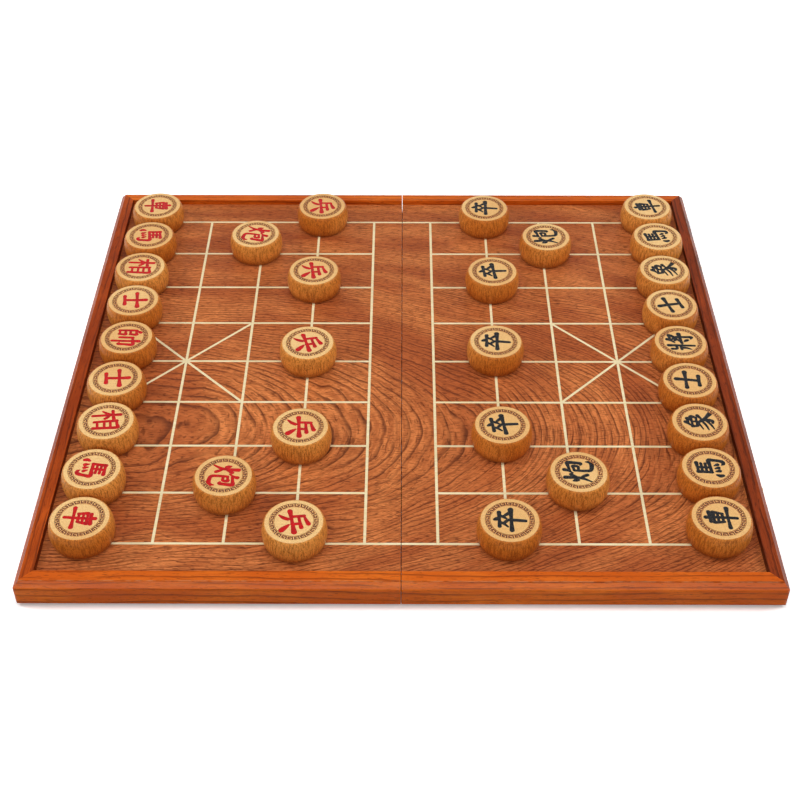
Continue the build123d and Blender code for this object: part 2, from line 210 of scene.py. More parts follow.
def rail_lacquer(name, quarter_turn, wall_shade, light, dark, streak):
    """Stained hardwood under gloss lacquer; quarter_turn lays its grain along Y in place of X.

    The value after quarter_turn is how much painted shade darkens the inner wall beside the panel, where
    shade falls.
    """
    gloss_coat = {"coat": 0.09, "coat_roughness": 0.12, "Specular_IOR_Level": 0.04}
    material, tree, shader, place = new_material(name, 0.34, **gloss_coat)
    grain_turn = (0, 0, np.pi / 2 * quarter_turn)
    turned = put(tree, "Mapping", {"Vector": place, "Rotation": grain_turn}).outputs[0]
    figure = {"Rings": 170.0, "Sway": 4.0, "Sway_Scale": 3.2, "Flutter": 0.8, "Fibre_Scale": 800.0}
    wood = placed(tree, timber, turned, **figure)
    use = placed(tree, handling, place, Scale=1.0)
    colour = tint(tree, wood["Tone"], light, dark)
    colour = stained(tree, colour, wood["Fibre"], 0.6, dark)
    colour = stained(tree, colour, wood["Ring"], 0.7, streak)
    colour = stained(tree, colour, wood["Pore"], 0.55, streak)
    # lacquer worn pale along the outer edge of the rail's flat, a line that also serves as a painted
    # highlight on the bead, and painted shade on the inner wall
    axes = put(tree, "SeparateXYZ", {0: place}).outputs
    past_x = maths(tree, "SUBTRACT", maths(tree, "ABSOLUTE", axes[0]), inner_x)
    past_y = maths(tree, "SUBTRACT", maths(tree, "ABSOLUTE", axes[1]), inner_y)
    past = maths(tree, "MAXIMUM", past_x, past_y)
    on_wall = ramp(tree, past, 4.5 * wall_film, wall_film)
    # the inner wall darkened with painted shade
    colour = stained(tree, colour, on_wall, wall_shade, streak)
    # the pale line on the bead: worn lacquer, and also a painted highlight
    off_edge = maths(tree, "ABSOLUTE", maths(tree, "SUBTRACT", past, flat_width))
    worn_and_lit = ramp(tree, off_edge, worn_and_lit_width, worn_and_lit_width / 6)
    near_top = ramp(tree, axes[2], rail_top - worn_and_lit_depth, rail_top - worn_and_lit_depth / 4)
    patchy = ramp(tree, cloudy(tree, place, 140.0, 3.0), 0.35, 0.6)
    worn_and_lit = maths(tree, "MULTIPLY", maths(tree, "MULTIPLY", worn_and_lit, near_top), patchy)
    colour = stained(tree, colour, worn_and_lit, worn_and_highlight_share, pale_wear_and_highlight)
    tree.links.new(colour, shader.inputs["Base Color"])
    gloss = maths(tree, "MULTIPLY_ADD", use["Smudge"], 0.12, 0.28)
    gloss = maths(tree, "MULTIPLY_ADD", use["Scratch"], 0.15, gloss)
    tree.links.new(gloss, shader.inputs["Roughness"])
    height = maths(tree, "SUBTRACT", wood["Fibre"], maths(tree, "MULTIPLY", wood["Pore"], 1.5))
    relief(tree, shader, height, 0.25, 0.05 * mm)
    return material


light_stock = (srgb(238, 124, 36), srgb(206, 90, 18), srgb(116, 44, 10))
brown_stock = (srgb(202, 88, 22), srgb(150, 56, 10), srgb(86, 30, 6))
dark_stock = (srgb(160, 66, 24), srgb(118, 44, 12), srgb(64, 24, 8))
# pale colour of worn lacquer on the bead, also standing for a painted highlight there
pale_wear_and_highlight = srgb(235, 160, 105)
long_rails = rail_lacquer("long_rail_lacquer", 0, 0.15, *light_stock)
left_end = rail_lacquer("left_end_lacquer", 1, 0.8, *brown_stock)
right_end = rail_lacquer("right_end_lacquer", 1, 0.8, *dark_stock)
dress([f"{half}_{edge}_rail" for half in ("left", "right") for edge in ("front", "back")], long_rails)
dress(["left_end_rail"], left_end)
dress(["right_end_rail"], right_end)
dress(["left_seam_rail", "right_seam_rail"], right_end)

# ---------------------------------------------------------------- playing panels
# Two 4 mm rosewood-faced boards cut from one sheet, so the figure runs on across the seam.
# They sit in the rails' grooves, lie on the seam rails and are lacquered over open pores.
flame_middle = -0.075  # Y of the line that the figure's arches are nested on
flame_bend = 3.4  # how fast the arches close in, per metre
ring_slope = 0.32  # how steeply the rings rise along X at the seam
ring_crowding = 0.6  # how much steeper they get per metre towards the black side
board_tilt = 0.12  # the sheet was sawn this far out of level across Y
warm_rosewood = srgb(232, 140, 78)
deep_rosewood = srgb(186, 96, 50)
fibre_brown = srgb(150, 72, 34)
ring_brown = srgb(76, 30, 16)
pore_brown = srgb(78, 32, 18)
vessel_brown = srgb(84, 34, 18)
panel_wood, tree, shader, place = new_material("rosewood_panel", 0.42, Specular_IOR_Level=0.08)
axes = put(tree, "SeparateXYZ", {0: place}).outputs
# flat-sawn figure: arches that point to +X, closer together towards the black side
off = maths(tree, "SUBTRACT", axes[1], flame_middle)
arch = maths(tree, "MULTIPLY", maths(tree, "MULTIPLY", off, off), flame_bend)
slant = maths(tree, "MULTIPLY_ADD", axes[0], ring_crowding, ring_slope)
arch = maths(tree, "ADD", maths(tree, "MULTIPLY", slant, axes[0]), arch)
sawn_level = maths(tree, "MULTIPLY_ADD", axes[1], board_tilt, axes[2])
bent = put(tree, "CombineXYZ", {0: axes[0], 1: arch, 2: sawn_level}).outputs[0]
wood = placed(tree, timber, bent, Rings=300.0, Sway=17.0, Sway_Scale=8.0, Flutter=2.2, Fibre_Scale=900.0)
use = placed(tree, handling, place, Scale=0.8)
colour = tint(tree, wood["Tone"], warm_rosewood, deep_rosewood)
colour = stained(tree, colour, wood["Fibre"], 0.6, fibre_brown)
colour = stained(tree, colour, wood["Ring"], 0.78, ring_brown)
colour = stained(tree, colour, wood["Pore"], 0.5, pore_brown)
vessels = ramp(tree, cloudy(tree, stretched(tree, place, 0.16, 1.0, 1.0), 1100.0, 2.0, 0.15), 0.52, 0.66)
colour = stained(tree, colour, vessels, 0.65, vessel_brown)
tree.links.new(colour, shader.inputs["Base Color"])
gloss = maths(tree, "MULTIPLY_ADD", use["Smudge"], 0.12, 0.36)
gloss = maths(tree, "MULTIPLY_ADD", wood["Pore"], 0.25, gloss)
tree.links.new(gloss, shader.inputs["Roughness"])
height = maths(tree, "SUBTRACT", wood["Fibre"], maths(tree, "MULTIPLY", wood["Pore"], 2.0))
relief(tree, shader, height, 0.35, 0.06 * mm)
dress(["left_panel", "right_panel"], panel_wood)

# ---------------------------------------------------------------- grid inlays
# Narrow strips of pale hardwood pressed into sawn grooves, glued and sanded flush with the panel.
# Each file strip butts against the rank strips that it meets.
cream_wood = srgb(250, 238, 200)
straw_wood = srgb(238, 218, 166)
ring_straw = srgb(214, 180, 120)
hand_grime = srgb(216, 188, 136)
inlay_wood, tree, shader, place = new_material("pale_inlay", 0.45, Specular_IOR_Level=0.2)
wood = placed(tree, timber, place, Rings=700.0, Sway=6.0, Sway_Scale=8.0, Flutter=0.6, Fibre_Scale=1600.0)
use = placed(tree, handling, place, Scale=1.3)
colour = tint(tree, wood["Fibre"], cream_wood, straw_wood)
colour = stained(tree, colour, wood["Ring"], 0.35, ring_straw)
colour = stained(tree, colour, use["Smudge"], 0.18, hand_grime)
tree.links.new(colour, shader.inputs["Base Color"])
tree.links.new(maths(tree, "MULTIPLY_ADD", use["Smudge"], 0.15, 0.38), shader.inputs["Roughness"])
relief(tree, shader, wood["Fibre"], 0.2, 0.03 * mm)
strips = [f"{half}_{lines}_inlays" for half in ("left", "right") for lines in ("line", "palace")]
dress(strips, inlay_wood)

# ---------------------------------------------------------------- rubber feet
# Four small moulded rubber discs stuck under the end rails, as high as the hinge knuckles.
# Matt black, a little dusty.
black_rubber = srgb(34, 33, 32)
chalky_rubber = srgb(58, 56, 53)
grey_dust = srgb(120, 114, 104)
rubber, tree, shader, place = new_material("foot_rubber", 0.8)
use = placed(tree, handling, place, Scale=2.5)
colour = tint(tree, use["Smudge"], black_rubber, chalky_rubber)
colour = tint(tree, use["Dust"], colour, grey_dust)
tree.links.new(colour, shader.inputs["Base Color"])
tree.links.new(maths(tree, "MULTIPLY_ADD", use["Smudge"], 0.2, 0.7), shader.inputs["Roughness"])
relief(tree, shader, cloudy(tree, place, 2500.0, 2.0), 0.3, 0.08 * mm)
dress(["left_rubber_feet", "right_rubber_feet"], rubber)

# ---------------------------------------------------------------- hinges, hooks and studs
# Stamped brass butt hinges let into the seam rails, with turned pins and countersunk screws.
# The swing hooks, their pivot screws and the round-headed studs on the end rails are brass too,
# polished and since gone a little brown where no hand rubs them.
bright_brass = srgb(226, 186, 104)
browned_brass = srgb(158, 116, 58)
scratched_brass = srgb(244, 214, 146)
brass, tree, shader, place = new_material("worn_brass", 0.28, Metallic=1.0)
use = placed(tree, handling, place, Scale=3.0)
tarnish = cloudy(tree, place, 320.0, 4.0, 0.4)
colour = tint(tree, ramp(tree, tarnish, 0.4, 0.75), bright_brass, browned_brass)
colour = stained(tree, colour, use["Scratch"], 0.6, scratched_brass)
tree.links.new(colour, shader.inputs["Base Color"])
gloss = maths(tree, "MULTIPLY_ADD", ramp(tree, tarnish, 0.35, 0.8), 0.25, 0.2)
tree.links.new(maths(tree, "MULTIPLY_ADD", use["Smudge"], 0.1, gloss), shader.inputs["Roughness"])
brushed = cloudy(tree, stretched(tree, place, 1.0, 0.05, 1.0), 6000.0, 1.0)
relief(tree, shader, brushed, 0.12, 0.02 * mm)
fittings = ["hinge_pins", "hook_front", "hook_back", "hook_pivot_screws", "keeper_studs"]
fittings += [f"{half}_hinge_{part}" for half in ("left", "right") for part in ("leaves", "screws")]
dress(fittings, brass)

# ---------------------------------------------------------------- game pieces: body and fretwork ring
# Thick discs turned from honey-coloured wood with the fibre upright, so the top is end grain.
# The ring's ground is sunk and burnt brown, and a meander line is left standing at the old surface.
playing_level = 18.1 * mm
shaded_height = 10.0 * mm  # painted shade darkens a piece's side up to this far above the board
piece_radius = 25.0
piece_height = 21.5
foot_radius = 22.8
edge_round = 2.0
rounding_rows = 7
disc_radius = 14.8
fret_outer = 18.8
fret_depth = 0.35
fret_worn = 0.04  # the raised line's top lies this far below the piece's top
fret_bank = 0.12  # width of the raised line's sloping sides
rim_line = 0.06  # half width of the raised lines at the ring's two edges
rim_wall = 0.1  # the ring's outer and inner walls lean over this width
cells = 99  # across the square grid that is pulled round into the disc
around = 4 * cells
meander_units = 22
steps_in_unit = 3
steps_across = 2
cells_in_step = around // (meander_units * steps_in_unit)
meander_step = 1.55
meander_line = 0.72  # width of the raised line
wood_face, paint_face, burnt_face = 0, 1, 2


def distance_to_stroke(x, y, path):
    """Distance from each point to a round-nosed stroke, negative inside.

    path is rows of x, y and half width.  For each straight run the point is dropped onto the run,
    the half width there is taken off the distance, and the smallest result over the runs is kept.
    """
    start, end = path[:-1, :, None], path[1:, :, None]
    run = end - start
    px, py = x.ravel()[None], y.ravel()[None]
    length = np.maximum(run[:, 0] ** 2 + run[:, 1] ** 2, 1e-12)
    share = np.clip(((px - start[:, 0]) * run[:, 0] + (py - start[:, 1]) * run[:, 1]) / length, 0, 1)
    gap = np.hypot(px - start[:, 0] - share * run[:, 0], py - start[:, 1] - share * run[:, 1])
    return (gap - start[:, 2] - share * run[:, 2]).min(0).reshape(x.shape)


def meander_distance(turn, radius):
    """Distance to the raised meander line, in millimetres, negative on the line.

    The ring is unrolled at its middle radius and folded into one unit three steps long: a ground line
    runs along the inner edge and from it a hook two steps high turns inwards.
    """
    middle = (disc_radius + fret_outer) / 2
    step_round = 2 * np.pi * middle / (meander_units * steps_in_unit)
    along = (turn * middle / step_round) % steps_in_unit
    out = (radius - middle) / meander_step + steps_across / 2
    key = [(0, 0), (0, 2), (2, 2), (2, 1), (1, 1)]  # the hook's corners, in steps
    line = np.array([(u, v, 0) for u, v in key], float)
    ground = np.array([(-steps_in_unit, 0, 0), (2 * steps_in_unit, 0, 0)], float)
    nearest = distance_to_stroke(along, out, ground)
    for shift in (0, -steps_in_unit):
        nearest = np.minimum(nearest, distance_to_stroke(along + shift, out, line))
    rims = np.minimum(abs(radius - disc_radius), abs(radius - fret_outer))
    return np.minimum(nearest * meander_step - meander_line / 2, rims - rim_line)


def square_to_disc(cells, radius):
    """A square grid pulled round into a disc: each square ring becomes a circle, with even spacing."""
    line = np.linspace(-1, 1, cells + 1)
    a, b = np.meshgrid(line, line, indexing="ij")
    wide = abs(a) >= abs(b)
    reach = np.where(wide, a, b)
    safe = np.where(reach == 0, 1, reach)
    turn = np.where(wide, np.pi / 4 * b / safe, np.pi / 2 - np.pi / 4 * a / safe)
    return radius * reach * np.cos(turn), radius * reach * np.sin(turn)


def cut_along_zero(points, faces, value):
    """Cuts the triangles that cross the line value = 0, so that no face lies on both sides of it.

    Each crossed edge gets one new point where the value, taken as linear along the edge, is zero.
    Gives the points, the faces, the values, and for each face whether it is on the negative side.
    """
    inside = value[faces] < 0
    count = inside.sum(1)
    whole, part = faces[(count == 0) | (count == 3)], faces[(count == 1) | (count == 2)]
    lone_inside = count[(count == 1) | (count == 2)] == 1
    lone = np.argmax(inside[(count == 1) | (count == 2)] == lone_inside[:, None], axis=1)
    rows = np.arange(len(part))
    a, b, c = (part[rows, (lone + k) % 3] for k in range(3))
    edges = np.concatenate([np.sort(np.stack([a, b], 1), 1), np.sort(np.stack([a, c], 1), 1)])
    unique, back = np.unique(edges, axis=0, return_inverse=True)
    back = back.ravel()
    first, last = value[unique[:, 0]], value[unique[:, 1]]
    share = (first / (first - last))[:, None]
    added = points[unique[:, 0]] * (1 - share) + points[unique[:, 1]] * share
    ab, ac = back[: len(part)] + len(points), back[len(part):] + len(points)
    tip = np.stack([a, ab, ac], 1)
    base = np.concatenate([np.stack([ab, b, c], 1), np.stack([ab, c, ac], 1)])
    negative = np.concatenate([value[whole].sum(1) < 0, lone_inside, ~lone_inside, ~lone_inside])
    every = np.concatenate([whole, tip, base])
    return np.vstack([points, added]), every, np.append(value, np.zeros(len(unique))), negative


def ring_faces(inner, outer):
    """Triangles between two closed rows of point numbers; the inner row may have three times as many."""
    if len(inner) == len(outer):
        a, b = inner, np.roll(inner, -1)
        c, d = outer, np.roll(outer, -1)
        return np.concatenate([np.stack([a, c, d], 1), np.stack([a, d, b], 1)])
    p = [np.roll(inner, -k)[::3] for k in range(4)]
    q, r = outer, np.roll(outer, -1)
    fans = [(p[0], q, p[1]), (p[1], q, r), (p[1], r, p[2]), (p[2], r, p[3])]
    return np.concatenate([np.stack(f, 1) for f in fans])


# the ring's rows: down the inner wall, over the lattice, and up the outer wall
middle_radius = (disc_radius + fret_outer) / 2
half_rows = steps_across * cells_in_step // 2
lattice = middle_radius + meander_step / cells_in_step * np.arange(-half_rows, half_rows + 1)
fret_rows = np.concatenate([[disc_radius + rim_wall], lattice, [fret_outer - rim_wall, fret_outer]])
first_turn = -3 * np.pi / 4  # the angle of the square grid's first corner
turn = first_turn + 2 * np.pi * np.arange(around) / around
radius_grid, turn_grid = np.meshgrid(fret_rows, turn, indexing="ij")
ring_x, ring_y = radius_grid * np.cos(turn_grid), radius_grid * np.sin(turn_grid)
ring_line = meander_distance(turn_grid - first_turn, radius_grid)
in_the_ground, on_the_wood = 0.3, -0.1  # distances that stand for each side of the line
ring_line[0] = ring_line[-2] = in_the_ground
ring_line[-1] = on_the_wood

# the disc's own points, and its rim walked round in the order of the ring's angles
disc_x, disc_y = square_to_disc(cells, disc_radius)
number = np.arange((cells + 1) ** 2).reshape(cells + 1, cells + 1)
rim = np.concatenate([number[:-1, 0], number[-1, :-1], number[:0:-1, -1], number[0, :0:-1]])
disc_faces = np.concatenate([
    np.stack([number[:-1, :-1], number[1:, :-1], number[1:, 1:]], -1).reshape(-1, 3),
    np.stack([number[:-1, :-1], number[1:, 1:], number[:-1, 1:]], -1).reshape(-1, 3),
])


def side_profile(count):
    """Radius and height from the light ring over the rounded edge, the bulged side and the foot.

    The bulge is an arc of a circle through the foot radius at both ends and the full radius half way
    up.  Each end is rounded by a small circle that touches both the flat end and the arc: its middle
    is one rounding below the flat and one rounding inside the arc.
    """
    half = piece_height / 2
    rise = piece_radius - foot_radius
    bend = (half ** 2 + rise ** 2) / (2 * rise)
    lean = np.arcsin((half - edge_round) / (bend - edge_round))
    flat = piece_radius - bend + (bend - edge_round) * np.cos(lean)
    turn_down = np.linspace(np.pi / 2, lean, rounding_rows)
    round_r = flat + edge_round * np.cos(turn_down)
    round_z = piece_height - edge_round * (1 - np.sin(turn_down))
    climb = np.linspace(lean, -lean, count)[1:-1]
    arc_r = piece_radius - bend * (1 - np.cos(climb))
    arc_z = half + bend * np.sin(climb)
    radius = np.concatenate([round_r, arc_r, round_r[::-1], [flat * 0.5]])
    height = np.concatenate([round_z, arc_z, piece_height - round_z[::-1], [0]])
    return radius, height


side_rows = 14
profile_r, profile_z = side_profile(side_rows)
coarse = turn[::3]
body_x = profile_r[:, None] * np.cos(coarse)
body_y = profile_r[:, None] * np.sin(coarse)
body_z = np.repeat(profile_z[:, None], len(coarse), 1)

# ---------------------------------------------------------------- game pieces: signs
# The customary sign of each piece, cut with a round-nosed graver and filled with gloss paint.
# Every stroke is a row of points (across, up, half width) in tenths of the sign's half height.
sign_size = 1.18  # millimetres in one tenth
sign_weight = 1.4  # the graver cuts this much wider than the strokes are written
sign_depth = 0.42
sign_bank = 0.75  # distance from a stroke's edge at which the cut is at its full depth
thinnest = 0.3  # half width of a stroke's end, in tenths
signs = {
    "chariot": [
        [(-4, 7.0, .9), (0, 7.4, .8), (4.6, 7.8, 1.1)],
        [(-4.4, 4.6, 1.0), (-4.2, 2, .9), (-3.6, -1.6, .8)],
        [(-4.2, 4.6, .8), (0, 5, .8), (4, 5.2, 1.1), (4.4, 4.4, 1.0), (3.4, -1, .7)],
        [(-3.6, 1.9, .7), (3.6, 2.3, .7)],
        [(-3.6, -1, .7), (3.4, -.7, .8)],
        [(-8.6, -4.9, 1.1), (-4, -4.5, .8), (3, -4, .8), (8.4, -3.8, 1.2)],
        [(-.2, 10, 1.1), (.1, 4, .9), (.1, -4, .9), (0, -10, .9)],
    ],
    "horse": [
        [(-4.2, 8.6, 1.1), (-4.4, 4, .9), (-4.6, -.4, .9)],
        [(-4.2, 8.4, .8), (0, 8.8, .8), (4.2, 9.2, 1.1)],
        [(0, 8.6, .8), (-.1, 4, .8), (-.2, .2, .7)],
        [(-4, 5.8, .7), (3.6, 6.2, .8)],
        [(-4, 3, .7), (3.6, 3.4, .8)],
        [
            (-4.6, -.2, .9), (1, .3, .9), (6.6, .8, 1.2), (6.8, -3, 1.0),
            (5.8, -8, 1.1), (3.6, -8.8, .9), (2.4, -7.4, .3),
        ],
        [(-7, -3.4, .6), (-7.8, -5.6, 1.1), (-7.4, -7.4, .9)],
        [(-3.8, -3.2, .5), (-3.1, -5.6, 1.1)],
        [(-1, -3, .5), (-.2, -5.2, 1.0)],
        [(1.8, -2.8, .5), (2.8, -4.8, 1.0)],
    ],
    "elephant_red": [
        [(-9.4, 4.2, .9), (-5, 4.6, .8), (-1.4, 5.2, 1.0)],
        [(-5.2, 9.6, 1.1), (-5.2, 3, .9), (-5.3, -9.4, .9)],
        [(-5.2, 4, .8), (-7, .4, .8), (-9.4, -2.8, .5)],
        [(-4.8, 2.6, .6), (-3, .8, .9), (-1.8, -.8, .9)],
        [(.9, 7.4, 1.0), (1.0, 0, .9), (1.2, -8, .9)],
        [(1, 7.2, .8), (4, 7.6, .8), (7.6, 8, 1.1), (7.8, 2, 1.0), (7.4, -8.6, 1.0)],
        [(1.6, 3, .7), (7, 3.3, .7)],
        [(1.6, -1.2, .7), (7, -.9, .7)],
        [(1.4, -6, .7), (7, -5.7, .7)],
    ],
    "advisor": [
        [(-8.4, 2.0, 1.2), (-4, 2.5, .9), (3, 3.2, .9), (8.2, 3.8, 1.4)],
        [(0, 9.6, 1.3), (.2, 4, 1.1), (0, -6, 1.0)],
        [(-5, -7, 1.1), (0, -6.5, .9), (5.2, -6, 1.2)],
    ],
    "general_red": [
        [(-5.6, 9.6, 1.1), (-6.6, 8.2, .7), (-7.4, 7, .4)],
        [(-7.8, 6.4, .9), (-7.8, 0, .9), (-7.7, -6.6, .8)],
        [(-7.6, 6.2, .7), (-4.8, 6.6, .8), (-3, 6.8, 1.0), (-3.3, 2, .8)],
        [(-7.4, 2, .7), (-3.4, 2.2, .7)],
        [(-7.4, -1.8, .7), (-4.8, -1.6, .8), (-3, -1.4, 1.0), (-3.4, -6.2, .8)],
        [(-7.4, -6, .7), (-3.4, -5.8, .7)],
        [(.6, 5, .9), (.6, 0, .9), (.5, -4.8, .9)],
        [(.6, 4.8, .8), (4.6, 5.4, .8), (8.6, 5.8, 1.2), (8.5, 0, .9), (8.2, -4.6, 1.0), (6.6, -4.2, .4)],
        [(4.6, 9.8, 1.2), (4.7, 2, .9), (4.6, -10, .9)],
    ],
    "cannon": [
        [(-8.6, 3.8, .6), (-8.0, 2.0, 1.1), (-7.9, .8, .8)],
        [(-2.8, 5.4, 1.0), (-3.8, 3.4, .7), (-4.4, 1.8, .4)],
        [(-5.6, 9.2, 1.2), (-5.6, 3, 1.0), (-6.4, -2.6, .9), (-9.6, -8.6, .4)],
        [(-5.6, -1, .6), (-4.2, -3.2, .9), (-3, -5.4, 1.0)],
        [(1.6, 9.6, 1.1), (.8, 7, .8), (-1.4, 4, .4)],
        [(.8, 6.2, .8), (4.4, 6.8, .8), (8.2, 7.2, 1.2), (8.2, 2, 1.0), (7.6, -1.4, 1.0), (6, -1.2, .4)],
        [(1, 3, .8), (3, 3.4, .7), (5, 3.6, 1.0), (4.8, .4, .8), (1.4, .2, .7)],
        [(1, 3, .8), (.8, -4, .9), (1.4, -7.8, 1.0), (4.6, -8.8, 1.1), (8.6, -8.4, 1.2), (9.4, -5, .4)],
    ],
    "soldier_red": [
        [(3.2, 9.2, 1.2), (0, 8, .9), (-4, 6.8, .6)],
        [(-4, 6.8, 1.0), (-4.2, 3, .9), (-4.2, -1.2, .9)],
        [(-3.8, 3.4, .8), (1, 3.8, .8), (5.8, 4.4, 1.1)],
        [(2.4, 3.8, .9), (2.2, -1.2, .9)],
        [(-9.2, -1.9, 1.3), (-4, -1.4, .9), (3, -.9, .9), (9.4, -.4, 1.4)],
        [(-2.4, -3.6, 1.0), (-4, -6.4, 1.0), (-6.6, -9, .5)],
        [(2.6, -3.4, .6), (4.6, -5.8, 1.2), (6.6, -8.2, 1.5)],
    ],
    "elephant_black": [
        [(-.4, 9.8, 1.1), (-2, 8, .8), (-4.6, 5.6, .4)],
        [(-1.6, 8, .7), (1.4, 8.2, .8), (3.4, 8.4, 1.0), (1.2, 5.8, .6)],
        [(-4.8, 5.4, .9), (-4.2, 1.8, .8)],
        [(-4.6, 5.2, .7), (0, 5.5, .7), (5, 5.8, 1.1), (4.2, 2.2, .8)],
        [(-4.2, 2, .7), (4.2, 2.3, .7)],
        [(.2, 5.4, .7), (-.2, 2, .7), (-3, .2, .6), (-7.4, -1.6, .4)],
        [(-1, 1.2, .8), (1.4, -1.6, 1.0), (2, -5, 1.1), (1, -8.6, 1.1), (-1.2, -8.8, .6)],
        [(.8, -1.4, .7), (-3, -3.8, .7), (-8, -5.4, .4)],
        [(1.8, -4, .7), (-2, -7, .7), (-7, -9.2, .4)],
        [(6.4, 1, 1.0), (4.4, -.4, .8), (2.4, -1.6, .5)],
        [(1.8, -1.6, .6), (4.8, -5, 1.0), (8.8, -8, 1.3)],
    ],
    "general_black": [
        [(-4.2, 9.4, 1.1), (-4.3, 2, .9), (-4.6, -9.6, .8)],
        [(-8.2, 7.2, .9), (-8, 3.6, .8), (-4.4, 3.8, .8)],
        [(-8.8, .2, .8), (-4.4, .6, .8)],
        [(-7, .2, .9), (-7.2, -3.4, .8), (-8.8, -7, .4)],
        [(2.8, 9.6, 1.1), (1.4, 7, .8), (-1.2, 4.4, .4)],
        [(2.2, 7.4, .7), (5, 7.6, .8), (7.6, 7.8, 1.1), (5, 4, .9), (.6, .8, .5)],
        [(2.6, 5.8, .6), (3.8, 4.8, .9)],
        [(1, 4.4, .6), (2.2, 3.4, .9)],
        [(-1.8, -.8, .9), (3, -.2, .9), (9, .4, 1.3)],
        [(5.4, 2.6, 1.0), (5.4, -4, .9), (5.2, -8.6, 1.0), (3, -7.8, .4)],
        [(.4, -3, .6), (1.4, -4.4, 1.0), (2, -5.6, .8)],
    ],
    "soldier_black": [
        [(-.4, 10, .7), (.4, 8.4, 1.2)],
        [(-6, 6.4, 1.0), (0, 6.8, .8), (6.2, 7.2, 1.1)],
        [(-2.4, 6, .9), (-3.6, 3.6, .8), (-6, 1, .5)],
        [(-3.2, 4, .6), (-1.6, 2.6, .9), (-.8, 1.6, .8)],
        [(3.2, 6, .9), (2, 3.6, .8), (.6, 1.8, .5)],
        [(3, 4.2, .6), (4.6, 2.4, .9), (6, .8, 1.0)],
        [(-8.8, -1.6, 1.2), (-3, -1.1, .9), (3, -.7, .9), (9, -.1, 1.4)],
        [(0, 1.2, .9), (.1, -4, 1.0), (0, -10, .9)],
    ],
}


def brush_path(points):
    """A stroke's points joined by a curve that passes through each of them, with its width.

    Between two points the curve is the cubic whose direction at each one is half the step from the
    point before it to the point after it.
    """
    p = np.array(points, float)
    p = np.vstack([2 * p[0] - p[1], p, 2 * p[-1] - p[-2]])
    t = np.linspace(0, 1, 7)[:-1, None, None]
    a, b, c, d = p[:-3], p[1:-2], p[2:-1], p[3:]
    square = 2 * a - 5 * b + 4 * c - d
    cube = 3 * b - a - 3 * c + d
    curve = 0.5 * (2 * b + (c - a) * t + square * t ** 2 + cube * t ** 3)
    path = np.vstack([curve.transpose(1, 0, 2).reshape(-1, 3), p[-2]])
    path[:, 2] = np.maximum(path[:, 2], thinnest) * sign_weight
    return path * sign_size


def turned_piece(sign):
    """Points, faces and finishes of one game piece about its own axis, its foot at height 0.

    The carved strokes sink with their distance from the stroke's edge, as a round graver leaves
    them; the fretwork's ground lies below its raised line; the body is the profile turned round.
    """
    to_sign = np.full(disc_x.shape, np.inf)
    for stroke in signs[sign]:
        to_sign = np.minimum(to_sign, distance_to_stroke(disc_x, disc_y, brush_path(stroke)))
    points = np.stack([disc_x.ravel(), disc_y.ravel(), np.full(disc_x.size, piece_height)], 1)
    points, faces, to_sign, painted = cut_along_zero(points, disc_faces, to_sign.ravel())
    points[:, 2] -= sign_depth * np.clip(-to_sign / sign_bank, 0, 1) ** 0.6
    finishes = np.where(painted, paint_face, wood_face)

    grid = np.arange(ring_x.size).reshape(ring_x.shape) + len(points)
    raised = np.clip(-ring_line / fret_bank, 0, 1)
    ring_z = piece_height - fret_depth + (fret_depth - fret_worn) * raised
    ring_z[-1] = piece_height
    ring = np.stack([ring_x.ravel(), ring_y.ravel(), ring_z.ravel()], 1)
    rows = [rim] + list(grid)
    band = np.concatenate([ring_faces(a, b) for a, b in zip(rows[:-1], rows[1:])])
    points = np.vstack([points, ring])
    value = np.concatenate([np.full(len(points) - len(ring), on_the_wood), ring_line.ravel()])
    points, band, value, on_line = cut_along_zero(points, band, value)
    cut = slice(grid[-1, -1] + 1, None)
    points[cut, 2] = np.maximum(points[cut, 2], piece_height - fret_depth * 0.6)
    faces = np.concatenate([faces, band])
    finishes = np.concatenate([finishes, np.where(on_line, wood_face, burnt_face)])

    body = np.arange(body_x.size).reshape(body_x.shape) + len(points)
    points = np.vstack([points, np.stack([body_x.ravel(), body_y.ravel(), body_z.ravel()], 1), [[0, 0, 0]]])
    rows = [grid[-1]] + list(body)
    turned = [ring_faces(a, b) for a, b in zip(rows[:-1], rows[1:])]
    foot = np.stack([body[-1], np.full(len(coarse), len(points) - 1), np.roll(body[-1], -1)], 1)
    turned = np.concatenate(turned + [foot])
    faces = np.concatenate([faces, turned])
    return points, faces, np.concatenate([finishes, np.full(len(turned), wood_face)])


light_side = srgb(236, 156, 70)
deep_side = srgb(212, 122, 42)
side_streak = srgb(132, 64, 16)
side_fleck = srgb(112, 52, 14)
# painted shade low on the pieces' sides
side_shade = srgb(122, 56, 14)
light_end_grain = srgb(250, 208, 142)
deep_end_grain = srgb(240, 190, 122)
end_grain_fleck = srgb(196, 134, 76)
end_grain_ring = srgb(206, 146, 84)


